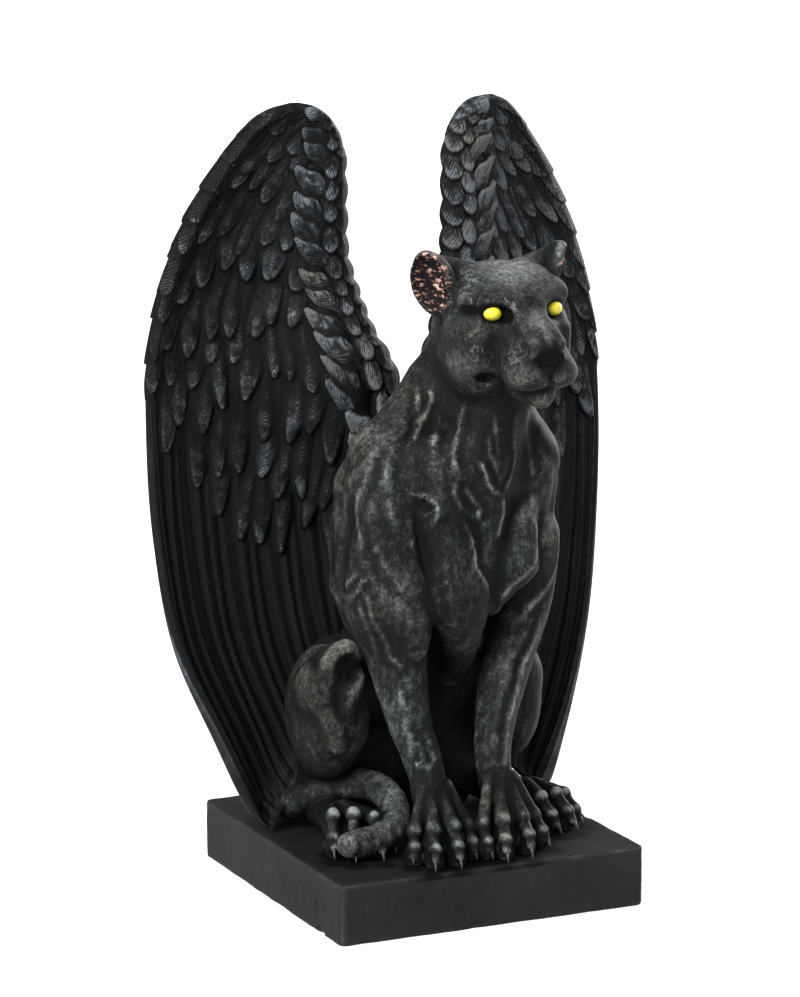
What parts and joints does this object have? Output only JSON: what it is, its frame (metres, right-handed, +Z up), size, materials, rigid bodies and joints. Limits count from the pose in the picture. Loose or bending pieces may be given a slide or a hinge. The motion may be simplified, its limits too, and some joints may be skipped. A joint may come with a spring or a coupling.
{
  "type": "winged panther gargoyle statue",
  "caption": "Seated winged panther gargoyle with tall raised feathered wings, yellow eyes and bare claws, cast in dark resin on a plain square block.",
  "frame": {"origin": "centre of the plinth's underside, on the surface that the statue stands on", "axes": "+Z up, the panther looks along -Y, +X is towards its left wing"},
  "size_m": [0.191, 0.1473, 0.298],
  "materials": {
    "figure_resin": "black cast resin, dry-brushed with grey along the ridges",
    "plinth_resin": "matt dark grey cast resin, worn along its edges",
    "eye_paint": "plain bright yellow paint, slightly glossy"
  },
  "bodies": {
    "root": {"figure": "figure_resin", "plinth": "plinth_resin"}
  },
  "joints": []
}
